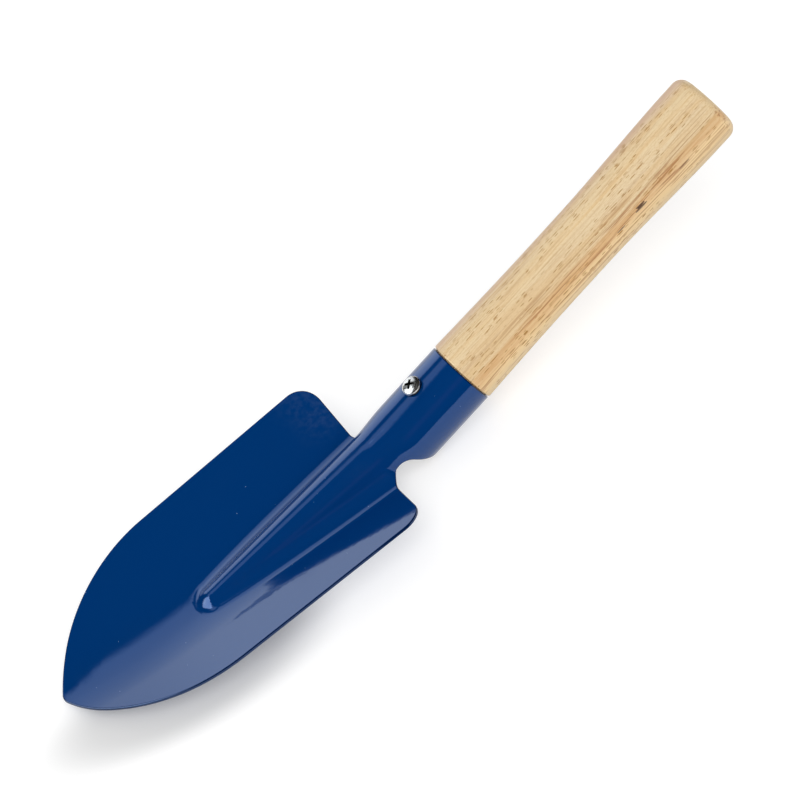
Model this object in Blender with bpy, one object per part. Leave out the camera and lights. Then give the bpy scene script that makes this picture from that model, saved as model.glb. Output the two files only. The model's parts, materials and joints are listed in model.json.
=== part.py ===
"""Garden hand trowel at its real size, in metres, +Z up.

Three pieces make it: one sheet of steel pressed into the blade, its ridge and the
rolled socket; a turned wooden handle whose tenon sits in the socket; and the pan-head
screw that goes through the socket into the tenon.

The sheet is drawn flat first. A place on the flat blank is (a, b): a is the distance
from the socket's mouth along the spine, b the distance out to one side, both measured
along the sheet. Pressing sends each place of the blank to its place in the finished
shape. The trowel is built with the socket's axis on X (mouth at X = 0, tip towards -X),
and at the end it is pitched and set down the way it lies on a table.
"""
import bpy
import bmesh
from functools import lru_cache
from math import acos, asin, atan2, ceil, cos, hypot, pi, radians, sin, sqrt, tan
from mathutils import Vector
from mathutils.geometry import delaunay_2d_cdt

# Sheet and socket
SHEET = 0.0012             # thickness of the steel
SOCKET_DIAMETER = 0.0244   # outside the rolled socket
SEAM_LENGTH = 0.0205       # mouth to the end of the seam at the back
SEAM_GAP = 0.0008
SEAM_CORNER = 0.0022       # rounding of the sheet's two corners at the end of the seam

# Neck, where the sheet is cut narrow between socket and blade
SHOULDER_FROM_MOUTH = 0.0425
NECK_WIDTH = 0.0300        # measured around the sheet
NOTCH_RADIUS = 0.0060
ROLL_LENGTH = 0.0130       # over which the open neck closes into the socket

# Blade
BLADE_LENGTH = 0.1298      # shoulder line to tip, along the valley
SHOULDER_WIDTH = 0.0818
WAIST_WIDTH = 0.0780       # where the straight sides end and the point begins
POINT_RADIUS = 0.0635      # arc of each side towards the tip
TIP_RADIUS = 0.0045
SHOULDER_RADIUS = 0.0082
BOTTOM_RADIUS = 0.0490     # curve across the bottom of the blade
WING_TILT = radians(22.3)  # of the wings at the shoulder
WING_TILT_AT_TIP = radians(17.3)  # they flatten towards the tip

# Crank: how the valley of the blade turns up from the socket's axis
VALLEY_DROP = 0.0014       # valley below the axis at the shoulder line
CRANK_ANGLE = radians(13.5)
CRANK_BEFORE = 0.0160      # the bend starts this far before the shoulder line
CRANK_PAST = 0.0030        # and ends this far past it
TIP_TURN = radians(12.4)
TIP_TURN_START = 0.0690    # past the shoulder line
TIP_TURN_LENGTH = 0.0680

# Ridge that stiffens the blade
RIDGE_LENGTH = 0.0700      # from the shoulder line to the end of the crest, past which the nose is round
RIDGE_RADIUS = 0.0094      # across the ridge at the shoulder line
RIDGE_END_HEIGHT = 0.0028
RIDGE_END_RADIUS = 0.0045
NOSE_LENGTH = 0.0085       # least length that the round nose needs
NOSE_SPREAD = 5.0          # most that the section's radii grow where it runs out
RIDGE_FILLET = 0.0076      # between the ridge's flanks and the blade
CREST_BLEND_BEFORE = 0.0078  # before the shoulder line the crest leaves the socket's line
CREST_BLEND_LENGTH = 0.0130

# Handle
GRIP_LENGTH = 0.1215       # shoulder to butt
GRIP_PROUD = 0.0001        # the grip's shoulder stands this far outside the socket
GRIP_WAIST_DIAMETER = 0.0232
GRIP_BUTT_DIAMETER = 0.0258
GRIP_TAPER_LENGTH = 0.0450  # shoulder to waist
GRIP_TAPER_CURVE = 1.6      # power of that taper: 1 is straight
GRIP_SWELL_LENGTH = 0.0540  # over which the grip swells to its butt
BUTT_STRAIGHT = 0.0070      # end of the swell to the butt's face
BUTT_RADIUS = 0.0040
SHOULDER_EASE = 0.0006      # chamfer on the shoulder's edge
TENON_LENGTH = 0.0260
TENON_CHAMFER = 0.0012
TENON_CLEARANCE = 0.0004    # to the socket's wall
SHOULDER_CLEARANCE = 0.0003

# Screw
SCREW_FROM_MOUTH = 0.0139
HEAD_DIAMETER = 0.0070
HEAD_HEIGHT = 0.0024
HEAD_WALL = 0.0009          # straight rim under the dome
SHANK_DIAMETER = 0.0034
SCREW_LENGTH = 0.0160       # under the head
SCREW_POINT = 0.0032
RECESS_SPAN = 0.0042
RECESS_FOOT = 0.0017        # span at the bottom of the recess
RECESS_WIDTH = 0.0010
RECESS_DEPTH = 0.0014
SCREW_CLEARANCE = 0.0003    # around the shank and under the head

# Used to find how the trowel balances when it lies down
STEEL_DENSITY = 7850.0
WOOD_DENSITY = 600.0

# Fineness of the solids
TURN_STEP = radians(16.0)           # around the arch
FILLET_TURN_STEP = radians(20.0)
WING_STEP = 0.0060
ROW_STEP = 0.0050                   # between rows across the sheet
NECK_ROW_STEP = 0.0024
NOSE_ROW_STEP = 0.0012
ROW_MARGIN = 0.0010                 # least distance from a row's places to the edge
PLACE_GAP = 0.0008                  # least distance between the places of a row
EDGE_STEP = 0.0030                  # along the blank's edge
ROUND_EDGE_STEP = 0.0015            # around its shoulders and notches
TIGHT_EDGE_STEP = 0.0009            # around its tip and the corners of the seam
SPINE_STEP = 0.00025
SHARP_ANGLE = radians(40.0)
GRIP_SIDES = 40
GRIP_RINGS = 22
BUTT_RINGS = 5
SCREW_SIDES = 24
DOME_RINGS = 6
HOLE_SIDES = 16

SHEET_RADIUS = SOCKET_DIAMETER / 2 - SHEET / 2
SEAM_EDGE = pi * SHEET_RADIUS - SEAM_GAP / 2
TIP_STATION = SHOULDER_FROM_MOUTH + BLADE_LENGTH
NOSE_STATION = SHOULDER_FROM_MOUTH + RIDGE_LENGTH
HOLE_RADIUS = SHANK_DIAMETER / 2 + SCREW_CLEARANCE
HOLE_CENTRE = (SCREW_FROM_MOUTH, 0.0)
TENON_RADIUS = SOCKET_DIAMETER / 2 - SHEET - TENON_CLEARANCE


def ease(t):
    """Smooth step from 0 to 1."""
    t = min(max(t, 0.0), 1.0)
    return t * t * (3 - 2 * t)


def lerp(start, end, t):
    return start + (end - start) * t


def valley_turn(a):
    """Angle of the valley above the socket's axis at station a."""
    past_bend = a - (SHOULDER_FROM_MOUTH - CRANK_BEFORE)
    past_turn = a - (SHOULDER_FROM_MOUTH + TIP_TURN_START)
    crank = CRANK_ANGLE * ease(past_bend / (CRANK_BEFORE + CRANK_PAST))
    return crank + TIP_TURN * ease(past_turn / TIP_TURN_LENGTH)


def valley_line():
    """The valley as (x, z) every SPINE_STEP, starting one step before the mouth."""
    points = [(SPINE_STEP, 0.0)]
    for i in range(ceil(TIP_STATION / SPINE_STEP) + 3):
        turn = valley_turn((i - 0.5) * SPINE_STEP)
        x, z = points[-1]
        points.append((x - cos(turn) * SPINE_STEP, z + sin(turn) * SPINE_STEP))
    shoulder_z = points[round(SHOULDER_FROM_MOUTH / SPINE_STEP) + 1][1]
    return [(x, z - shoulder_z - VALLEY_DROP) for x, z in points]


VALLEY = valley_line()


def valley_at(a):
    place = a / SPINE_STEP + 1
    i = min(max(int(place), 0), len(VALLEY) - 2)
    (x0, z0), (x1, z1) = VALLEY[i], VALLEY[i + 1]
    return lerp(x0, x1, place - i), lerp(z0, z1, place - i)


def trough_length(tilt, y):
    """Distance along the trough from its middle to a place y to the side."""
    bottom = BOTTOM_RADIUS * sin(tilt)
    if y < bottom:
        return BOTTOM_RADIUS * asin(y / BOTTOM_RADIUS)
    return BOTTOM_RADIUS * tilt + (y - bottom) / cos(tilt)


def trough_at(tilt, length):
    """Side and height of the trough that far along it from its middle."""
    on_arc = min(length / BOTTOM_RADIUS, tilt)
    on_wing = length - BOTTOM_RADIUS * on_arc
    y = BOTTOM_RADIUS * sin(on_arc) + on_wing * cos(tilt)
    return y, BOTTOM_RADIUS * (1 - cos(on_arc)) + on_wing * sin(tilt)


class Section:
    """The sheet cut across at one station: an arch, a fillet on each side, the trough."""

    def __init__(self, a):
        # The arch's crest runs on along the top of the socket, then falls to the nose.
        along = min((a - SHOULDER_FROM_MOUTH) / RIDGE_LENGTH, 1.0)
        socket_height = (SHEET_RADIUS - valley_at(a)[1]) / cos(valley_turn(a))
        neck_height = (SHEET_RADIUS + VALLEY_DROP) / cos(valley_turn(SHOULDER_FROM_MOUTH))
        ridge_height = lerp(neck_height, RIDGE_END_HEIGHT, along)
        opened = ease((a - SHOULDER_FROM_MOUTH + CREST_BLEND_BEFORE) / CREST_BLEND_LENGTH)
        self.height = lerp(socket_height, ridge_height, opened)
        narrowed = ease((a - SHOULDER_FROM_MOUTH) / CRANK_BEFORE + 1)
        ridge_radius = lerp(RIDGE_RADIUS, RIDGE_END_RADIUS, max(along, 0.0))
        self.radius = lerp(SHEET_RADIUS, ridge_radius, narrowed)
        self.fillet = RIDGE_FILLET
        if a > NOSE_STATION:
            self.round_nose(a - NOSE_STATION)
        self.reach = self.radius + self.fillet
        toward_tip = max((a - SHOULDER_FROM_MOUTH) / BLADE_LENGTH, 0.0)
        self.tilt = lerp(WING_TILT, WING_TILT_AT_TIP, toward_tip)
        flank = self.place_fillet()
        self.flank = lerp(flank, pi, ease((SHOULDER_FROM_MOUTH - a) / ROLL_LENGTH))
        self.arch_end = self.radius * self.flank
        self.fillet_end = self.arch_end + self.fillet * (self.flank + self.landing_tilt)

    def round_nose(self, past):
        """Cuts the ridge's round end: the section turned about the end of the crest."""
        reach = self.radius + self.fillet
        flank = acos(1 - self.height / reach)
        foot = reach * sin(flank)
        past = min(past, foot)
        if past < self.radius * sin(flank):
            self.height += sqrt(self.radius**2 - past**2) - self.radius
        else:
            self.height = self.fillet - sqrt(self.fillet**2 - (foot - past)**2)
        width = foot**2 - past**2 + self.height**2
        narrow = 2 * reach * self.height
        spread = width / narrow if width < NOSE_SPREAD * narrow else NOSE_SPREAD
        self.radius *= spread
        self.fillet *= spread

    def place_fillet(self):
        """Touches the fillet to arch and trough, and gives the arch's half angle."""
        inner = BOTTOM_RADIUS - self.fillet
        lift = BOTTOM_RADIUS - (self.height - self.radius)
        across = lift * cos(self.tilt) - inner
        slide = sqrt(max(self.reach**2 - across**2, 0.0)) - lift * sin(self.tilt)
        if slide > 0.0:
            # It lands on the straight wing, this far out from the wing's foot.
            self.landing_tilt = self.tilt
            self.landing = BOTTOM_RADIUS * self.tilt + slide
            y = inner * sin(self.tilt) + slide * cos(self.tilt)
            return atan2(y, lift - inner * cos(self.tilt) + slide * sin(self.tilt))
        # It lands on the arc at the bottom of the trough.
        cosine = (self.reach**2 + lift**2 - inner**2) / (2 * self.reach * lift)
        flank = acos(min(max(cosine, -1.0), 1.0))
        self.landing_tilt = asin(min(self.reach * sin(flank) / inner, 1.0))
        self.landing = BOTTOM_RADIUS * self.landing_tilt
        return flank

    def at(self, b):
        """Side and height of the sheet at b."""
        side = 1 if b >= 0 else -1
        b = abs(b)
        centre = self.height - self.radius
        if b <= self.arch_end:
            tilt = b / self.radius
            return side * self.radius * sin(tilt), centre + self.radius * cos(tilt)
        y = self.reach * sin(self.flank)
        z = centre + self.reach * cos(self.flank)
        if b <= self.fillet_end:
            tilt = self.flank - (b - self.arch_end) / self.fillet
            return side * (y - self.fillet * sin(tilt)), z - self.fillet * cos(tilt)
        y += self.fillet * sin(self.landing_tilt)
        z -= self.fillet * cos(self.landing_tilt)
        first_y, first_z = trough_at(self.tilt, self.landing)
        last_y, last_z = trough_at(self.tilt, self.landing + b - self.fillet_end)
        return side * (y + last_y - first_y), z + last_z - first_z

    def b_at(self, y):
        """Distance along the sheet at which the trough is y from the middle."""
        return self.fillet_end + trough_length(self.tilt, y) - self.landing


@lru_cache(maxsize=None)
def section(a):
    return Section(a)


def press(a, b):
    """Middle of the sheet's thickness at (a, b) of the blank, in the finished shape."""
    y, height = section(a).at(b)
    x, z = valley_at(a)
    turn = valley_turn(a)
    return Vector((x + height * sin(turn), y, z + height * cos(turn)))


def press_normal(a, b):
    """Direction out of the sheet's upper side at (a, b)."""
    step = SPINE_STEP / 10
    along = press(a + step, b) - press(a - step, b)
    across = press(a, b + step) - press(a, b - step)
    return across.cross(along).normalized()


def arc(centre, radius, start, end, step):
    """Points on a circle from angle start to angle end, both kept."""
    count = max(3, ceil(abs(end - start) * radius / step))
    angles = [lerp(start, end, i / count) for i in range(count + 1)]
    return [(centre[0] + radius * cos(t), centre[1] + radius * sin(t)) for t in angles]


def between(start, end, step):
    """Evenly spaced points on the line from start to end, without its two ends."""
    count = max(1, ceil(hypot(end[0] - start[0], end[1] - start[1]) / step))
    return [(lerp(start[0], end[0], i / count), lerp(start[1], end[1], i / count))
            for i in range(1, count)]


def rounded(before, corner, after, radius):
    """A corner of an outline as an arc that touches both of its sides."""
    corner = Vector(corner)
    back = (Vector(before) - corner).normalized()
    on = (Vector(after) - corner).normalized()
    half_angle = acos(back.dot(on)) / 2
    centre = corner + (back + on).normalized() * (radius / sin(half_angle))
    first = corner + back * (radius / tan(half_angle)) - centre
    last = corner + on * (radius / tan(half_angle)) - centre
    start = atan2(first.y, first.x)
    return arc(centre, radius, start, start - first.angle_signed(last), TIGHT_EDGE_STEP)


def blade_plan():
    """Half of the blade's edge as (a, y), y being the finished half width, tip first."""
    half = WAIST_WIDTH / 2
    # The arc of the side runs into the arc of the tip, which is centred on the middle.
    side_centre = half - POINT_RADIUS
    reach = sqrt((POINT_RADIUS - TIP_RADIUS)**2 - side_centre**2)
    tip_centre = TIP_STATION - TIP_RADIUS
    waist = tip_centre - reach
    meet = atan2(-side_centre, reach)
    flare = (SHOULDER_WIDTH / 2 - half) / (waist - SHOULDER_FROM_MOUTH)
    tilt = atan2(flare, 1.0)
    points = arc((tip_centre, 0.0), TIP_RADIUS, 0.0, meet, TIGHT_EDGE_STEP)
    points += arc((waist, side_centre), POINT_RADIUS, meet, pi / 2 - tilt, EDGE_STEP)[1:]
    # Straight side, then the rounded shoulder that ends on the shoulder line.
    corner_a = SHOULDER_FROM_MOUTH + SHOULDER_RADIUS
    corner_y = half + flare * (waist - corner_a) - SHOULDER_RADIUS / cos(tilt)
    shoulder = arc((corner_a, corner_y), SHOULDER_RADIUS, pi / 2 - tilt, pi, ROUND_EDGE_STEP)
    return points + between(points[-1], shoulder[0], EDGE_STEP) + shoulder


def blank_outline():
    """The flat blank's edge as one closed loop of (a, b)."""
    half = [(a, section(a).b_at(y)) for a, y in blade_plan()]
    notch = (SHOULDER_FROM_MOUTH - NOTCH_RADIUS, NECK_WIDTH / 2 + NOTCH_RADIUS)
    half += between(half[-1], (SHOULDER_FROM_MOUTH, notch[1]), EDGE_STEP)
    # The wrap's edge is a straight line from the seam's end that touches the notch.
    seam_end = (SEAM_LENGTH, SEAM_EDGE)
    span = hypot(notch[0] - SEAM_LENGTH, SEAM_EDGE - notch[1])
    towards = atan2(SEAM_EDGE - notch[1], SEAM_LENGTH - notch[0])
    touch = towards + acos(NOTCH_RADIUS / span) - 2 * pi
    half += arc(notch, NOTCH_RADIUS, 0.0, touch, ROUND_EDGE_STEP)
    corner = rounded(half[-1], seam_end, (0.0, SEAM_EDGE), SEAM_CORNER)
    half += between(half[-1], corner[0], EDGE_STEP) + corner
    half += between(corner[-1], (0.0, SEAM_EDGE), EDGE_STEP) + [(0.0, SEAM_EDGE)]
    mouth = [(0.0, -b) for b in row_places(0.0) if abs(b) < SEAM_EDGE - EDGE_STEP / 2]
    return half + mouth + [(a, -b) for a, b in reversed(half[1:])]


def row_places(a):
    """Places across the sheet at one station: closer together where it curves more."""
    cut = section(a)
    arch = max(1, ceil(cut.flank / TURN_STEP))
    places = [cut.arch_end * i / arch for i in range(arch + 1)]
    fillet = max(1, ceil((cut.flank + cut.landing_tilt) / FILLET_TURN_STEP))
    places += [lerp(cut.arch_end, cut.fillet_end, (i + 1) / fillet) for i in range(fillet)]
    wing = ceil(SHOULDER_WIDTH / 2 / WING_STEP) + 1
    places += [cut.fillet_end + WING_STEP * (i + 1) for i in range(wing)]
    return [-b for b in reversed(places[1:])] + places


def row_stations():
    """Stations along the spine: close at the neck and the nose, wider elsewhere."""
    stations = []
    a = 0.0
    while a < TIP_STATION:
        nose = -NOSE_LENGTH / 2 < a - NOSE_STATION < NOSE_LENGTH
        neck = abs(a - SHOULDER_FROM_MOUTH) < ROLL_LENGTH
        a += NOSE_ROW_STEP if nose else NECK_ROW_STEP if neck else ROW_STEP
        stations.append(a)
    return stations


def edge_distance(place, loop):
    """Distance from the loop, positive inside it."""
    inside = False
    nearest = 1.0
    for (a0, b0), (a1, b1) in zip(loop, loop[1:] + loop[:1]):
        run, rise = a1 - a0, b1 - b0
        t = ((place[0] - a0) * run + (place[1] - b0) * rise) / (run * run + rise * rise)
        t = min(max(t, 0.0), 1.0)
        nearest = min(nearest, hypot(a0 + t * run - place[0], b0 + t * rise - place[1]))
        if (b0 > place[1]) != (b1 > place[1]) and place[0] < a0 + (place[1] - b0) / rise * run:
            inside = not inside
    return nearest if inside else -nearest


def blank_triangles():
    """The flat blank as places and triangles, with the screw's hole left open."""
    outline = blank_outline()
    side = 2 * pi * HOLE_RADIUS / HOLE_SIDES
    hole = arc(HOLE_CENTRE, HOLE_RADIUS, 0.0, 2 * pi, side)[:-1]
    places = outline + hole
    edges = [(i, (i + 1) % len(outline)) for i in range(len(outline))]
    edges += [(len(outline) + i, len(outline) + (i + 1) % len(hole)) for i in range(len(hole))]
    for a in row_stations():
        row = []
        for b in row_places(a):
            spaced = all(abs(b - other) > PLACE_GAP for _a, other in row)
            off_hole = hypot(a - HOLE_CENTRE[0], b) > HOLE_RADIUS + ROW_MARGIN
            if spaced and off_hole and edge_distance((a, b), outline) > ROW_MARGIN:
                row.append((a, b))
        places += row
    flat = [Vector(place) for place in places]
    verts, _edges, triangles, *_origins = delaunay_2d_cdt(flat, edges, [], 1, 1e-7)
    kept = []
    for triangle in triangles:
        middle = sum((verts[i] for i in triangle), Vector((0.0, 0.0))) / 3
        if edge_distance(middle, hole) < 0.0:
            kept.append(tuple(triangle))
    return [(v.x, v.y) for v in verts], kept


def material(name, colour, roughness, metallic=0.0, coat=0.0):
    mat = bpy.data.materials.new(name)
    mat.use_nodes = True
    shader = mat.node_tree.nodes["Principled BSDF"]
    shader.inputs["Base Color"].default_value = (*colour, 1.0)
    shader.inputs["Roughness"].default_value = roughness
    shader.inputs["Metallic"].default_value = metallic
    shader.inputs["Coat Weight"].default_value = coat
    mat.diffuse_color = (*colour, 1.0)
    return mat


def add_object(name, verts, faces, mat=None):
    mesh = bpy.data.meshes.new(name)
    mesh.from_pydata(verts, [], faces)
    mesh.validate()
    mesh.shade_smooth()
    mesh.set_sharp_from_angle(angle=SHARP_ANGLE)
    obj = bpy.data.objects.new(name, mesh)
    bpy.context.scene.collection.objects.link(obj)
    if mat:
        mesh.materials.append(mat)
    return obj


def cut_away(obj, cutter):
    """Boolean difference that leaves its cutter as a guide."""
    cutter.hide_render = True
    cutter.display_type = "WIRE"
    modifier = obj.modifiers.new("cut_" + cutter.name, "BOOLEAN")
    modifier.operation = "DIFFERENCE"
    modifier.solver = "EXACT"
    modifier.object = cutter


def make_blade(mat):
    """Two pressed skins, half a thickness either side of the middle, and their edge."""
    places, triangles = blank_triangles()
    middle = [press(a, b) for a, b in places]
    out = [press_normal(a, b) * SHEET / 2 for a, b in places]
    count = len(places)
    verts = [p + n for p, n in zip(middle, out)] + [p - n for p, n in zip(middle, out)]
    faces = [tuple(reversed(t)) for t in triangles]
    faces += [tuple(i + count for i in t) for t in triangles]
    sides = {(t[k], t[(k + 1) % 3]) for t in triangles for k in range(3)}
    for i, j in sides:
        if (j, i) not in sides:
            faces.append((j + count, i + count, i, j))
    return add_object("blade", verts, faces, mat)


def turned(name, profile, sides, mat=None):
    """Solid of revolution about Z from (radius, height) pairs, top first, ends on the axis."""
    verts = [Vector((0.0, 0.0, profile[0][1]))]
    for radius, height in profile[1:-1]:
        for i in range(sides):
            t = 2 * pi * i / sides
            verts.append(Vector((radius * cos(t), radius * sin(t), height)))
    verts.append(Vector((0.0, 0.0, profile[-1][1])))
    faces = [(0, 1 + i, 1 + (i + 1) % sides) for i in range(sides)]
    for ring in range(len(profile) - 3):
        top, low = 1 + ring * sides, 1 + (ring + 1) * sides
        for i in range(sides):
            j = (i + 1) % sides
            faces.append((top + i, low + i, low + j, top + j))
    last, low = len(verts) - 1, 1 + (len(profile) - 3) * sides
    faces += [(last, low + (i + 1) % sides, low + i) for i in range(sides)]
    return add_object(name, verts, faces, mat)


def grip_radius(x):
    """Half thickness of the grip at x from the shoulder."""
    taper = max(1 - x / GRIP_TAPER_LENGTH, 0.0)
    swell = ease((x - GRIP_LENGTH + BUTT_STRAIGHT + GRIP_SWELL_LENGTH) / GRIP_SWELL_LENGTH)
    waist = GRIP_WAIST_DIAMETER / 2
    at_shoulder = (SOCKET_DIAMETER / 2 + GRIP_PROUD - waist) * taper**GRIP_TAPER_CURVE
    return waist + at_shoulder + (GRIP_BUTT_DIAMETER / 2 - waist) * swell


def make_handle(mat):
    """Grip and tenon turned from one piece, with a pilot hole for the screw."""
    butt = grip_radius(GRIP_LENGTH) - BUTT_RADIUS
    straight = GRIP_LENGTH - BUTT_RADIUS
    profile = [(0.0, GRIP_LENGTH)]
    for i in range(BUTT_RINGS + 1):
        t = pi / 2 * i / BUTT_RINGS
        profile.append((butt + BUTT_RADIUS * sin(t), straight + BUTT_RADIUS * cos(t)))
    for i in range(1, GRIP_RINGS):
        x = lerp(straight, SHOULDER_EASE, i / GRIP_RINGS)
        profile.append((grip_radius(x), x))
    profile += [
        (grip_radius(0.0), SHOULDER_CLEARANCE + SHOULDER_EASE),
        (grip_radius(0.0) - SHOULDER_EASE, SHOULDER_CLEARANCE),
        (TENON_RADIUS, SHOULDER_CLEARANCE),
        (TENON_RADIUS, TENON_CHAMFER - TENON_LENGTH),
        (TENON_RADIUS - TENON_CHAMFER, -TENON_LENGTH),
        (0.0, -TENON_LENGTH),
    ]
    handle = turned("handle", profile, GRIP_SIDES, mat)
    handle.rotation_euler = (0.0, pi / 2, 0.0)
    top = SOCKET_DIAMETER / 2
    pilot_end = top - SCREW_LENGTH
    pilot = turned("pilot_hole_cutter", [
        (0.0, top),
        (HOLE_RADIUS, top),
        (HOLE_RADIUS, pilot_end),
        (0.0, pilot_end - HOLE_RADIUS),
    ], HOLE_SIDES)
    pilot.location = (-SCREW_FROM_MOUTH, 0.0, 0.0)
    cut_away(handle, pilot)
    return handle, pilot


def recess_cutter(name, place, turn):
    """One arm of the cross: a bar whose two ends slope in towards the bottom."""
    top, low = HEAD_HEIGHT + RECESS_DEPTH, HEAD_HEIGHT - RECESS_DEPTH
    # The ends keep their slope above the head, so that the span is met at its top.
    spread = (RECESS_SPAN - RECESS_FOOT) / 2
    wide, narrow, half = RECESS_SPAN / 2 + spread, RECESS_FOOT / 2, RECESS_WIDTH / 2
    corners = []
    for reach, height in ((wide, top), (narrow, low)):
        corners += [(reach, half, height), (-reach, half, height)]
        corners += [(-reach, -half, height), (reach, -half, height)]
    faces = [(0, 1, 2, 3), (7, 6, 5, 4)]
    faces += [(4 + i, 4 + (i + 1) % 4, (i + 1) % 4, i) for i in range(4)]
    cutter = add_object(name, corners, faces)
    cutter.location = place
    cutter.rotation_euler = (0.0, 0.0, turn)
    return cutter


def make_screw(mat):
    """Pan-head screw with a cross recess, standing on the socket's crest."""
    rim = HEAD_DIAMETER / 2
    shank = SHANK_DIAMETER / 2
    dome = HEAD_HEIGHT - HEAD_WALL
    profile = [(0.0, HEAD_HEIGHT)]
    for i in range(1, DOME_RINGS + 1):
        t = pi / 2 * i / DOME_RINGS
        profile.append((rim * sin(t), HEAD_WALL + dome * cos(t)))
    profile += [
        (rim, 0.0),
        (shank, 0.0),
        (shank, SCREW_POINT - SCREW_LENGTH),
        (0.0, -SCREW_LENGTH),
    ]
    screw = turned("screw", profile, SCREW_SIDES, mat)
    screw.location = (-SCREW_FROM_MOUTH, 0.0, SOCKET_DIAMETER / 2 + SCREW_CLEARANCE)
    cutters = [
        recess_cutter("recess_cutter_left", screw.location, pi / 4),
        recess_cutter("recess_cutter_right", screw.location, -pi / 4),
    ]
    for cutter in cutters:
        cut_away(screw, cutter)
    return screw, cutters


def world_mesh(obj):
    """A bmesh of the object as evaluated, in world coordinates."""
    evaluated = obj.evaluated_get(bpy.context.evaluated_depsgraph_get())
    mesh = bmesh.new()
    mesh.from_mesh(evaluated.to_mesh())
    mesh.transform(obj.matrix_world)
    return mesh


def volume_and_centre(mesh):
    """Volume of a closed mesh and the centre of that volume."""
    volume = 0.0
    moment = Vector()
    for loop in mesh.calc_loop_triangles():
        p, q, r = (corner.vert.co for corner in loop)
        piece = p.dot(q.cross(r)) / 6
        volume += piece
        moment += piece * (p + q + r) / 4
    return volume, moment / volume


def lower_hull(points):
    """Lower side of the convex hull of (x, z) points, left to right."""
    hull = []
    for point in sorted(points):
        while len(hull) > 1:
            (x0, z0), (x1, z1) = hull[-2:]
            if (x1 - x0) * (point[1] - z0) - (z1 - z0) * (point[0] - x0) > 0:
                break
            hull.pop()
        hull.append(point)
    return hull


def mass_and_balance(pieces):
    """Mass of (object, density) pairs and the place where they balance."""
    mass = 0.0
    moment = Vector()
    for piece, density in pieces:
        mesh = world_mesh(piece)
        volume, centre = volume_and_centre(mesh)
        mass += density * volume
        moment += density * volume * centre
        mesh.free()
    return mass, moment / mass


def all_corners(pieces):
    """World place of every vertex of the pieces."""
    places = []
    for piece, _density in pieces:
        mesh = world_mesh(piece)
        places += [vert.co.copy() for vert in mesh.verts]
        mesh.free()
    return places


def resting_pitch(places, balance):
    """Pitch that levels the side of the hull that lies under the balance point."""
    hull = lower_hull([(place.x, place.z) for place in places])
    for (x0, z0), (x1, z1) in zip(hull, hull[1:]):
        run, rise = x1 - x0, z1 - z0
        along = ((balance.x - x0) * run + (balance.z - z0) * rise) / (run * run + rise * rise)
        if 0.0 < along < 1.0:
            return atan2(rise, run)
    return 0.0


def lay_down(pieces, frame):
    """Pitch the trowel to the two places it rests on and set it over the origin."""
    mass, balance = mass_and_balance(pieces)
    pitch = resting_pitch(all_corners(pieces), balance)
    frame.rotation_euler = (0.0, pitch, 0.0)
    bpy.context.view_layer.update()
    places = all_corners(pieces)
    low = Vector([min(place[i] for place in places) for i in range(3)])
    high = Vector([max(place[i] for place in places) for i in range(3)])
    frame.location = -Vector(((low.x + high.x) / 2, (low.y + high.y) / 2, low.z))
    bpy.context.view_layer.update()
    print("mass kg", round(mass, 4), "pitch degrees", round(pitch * 180 / pi, 2))
    print("size mm", [round(extent * 1000, 1) for extent in high - low])
    print("balance", [round(value, 4) for value in frame.matrix_world @ balance])


def main():
    for obj in list(bpy.data.objects):
        bpy.data.objects.remove(obj, do_unlink=True)
    navy = material("navy_paint", (0.010, 0.050, 0.165), 0.12, coat=0.6)
    wood = material("pale_turned_wood", (0.78, 0.60, 0.36), 0.48)
    nickel = material("nickel_plate", (0.80, 0.79, 0.77), 0.16, metallic=1.0)
    blade = make_blade(navy)
    handle, pilot = make_handle(wood)
    screw, recess = make_screw(nickel)
    frame = bpy.data.objects.new("trowel_frame", None)
    bpy.context.scene.collection.objects.link(frame)
    for obj in [blade, handle, screw, pilot, *recess]:
        obj.parent = frame
    bpy.context.view_layer.update()
    lay_down([(blade, STEEL_DENSITY), (handle, WOOD_DENSITY), (screw, STEEL_DENSITY)], frame)


main()
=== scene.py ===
# %% [markdown]
# # A hand trowel, one cell at a time
#
# The trowel is three real pieces: a blade pressed from one sheet of steel, a turned wooden
# handle whose tenon sits in the rolled socket, and the screw that holds the two together.
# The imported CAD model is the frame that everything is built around. Each CAD solid is
# coarse, so each gets a finely modelled piece that stands in the same place. Lengths are in
# metres unless a name ends in MM.

import json
from functools import lru_cache, partial
from math import acos, asin, atan2, ceil, cos, hypot, pi, radians, sin, sqrt, tan

import bmesh
import bpy
import numpy as np
from mathutils import Matrix, Vector
from mathutils.geometry import delaunay_2d_cdt


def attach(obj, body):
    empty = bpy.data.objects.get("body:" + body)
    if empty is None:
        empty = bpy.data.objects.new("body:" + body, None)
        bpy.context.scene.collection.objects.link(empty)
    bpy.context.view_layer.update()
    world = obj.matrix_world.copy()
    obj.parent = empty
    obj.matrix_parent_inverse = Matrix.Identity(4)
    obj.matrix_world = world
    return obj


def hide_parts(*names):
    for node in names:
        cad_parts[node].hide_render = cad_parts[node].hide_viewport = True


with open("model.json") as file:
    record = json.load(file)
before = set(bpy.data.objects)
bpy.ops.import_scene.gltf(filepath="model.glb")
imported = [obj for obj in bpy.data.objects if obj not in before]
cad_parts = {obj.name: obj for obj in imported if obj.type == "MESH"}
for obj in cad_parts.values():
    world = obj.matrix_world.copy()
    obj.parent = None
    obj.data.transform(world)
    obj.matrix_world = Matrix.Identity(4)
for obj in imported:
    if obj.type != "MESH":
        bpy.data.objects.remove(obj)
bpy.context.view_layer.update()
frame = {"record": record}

# %% [markdown]
# ## Where the trowel lies
#
# It is easiest to draw the trowel with its socket's axis on X, the mouth at the origin and
# the tip towards -X, and to lay it down afterwards. The record names the flat end of the
# handle and its direction. Going back from there by the length of the grip gives the mouth,
# and the direction gives the pitch, so no number for either has to be copied.

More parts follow.
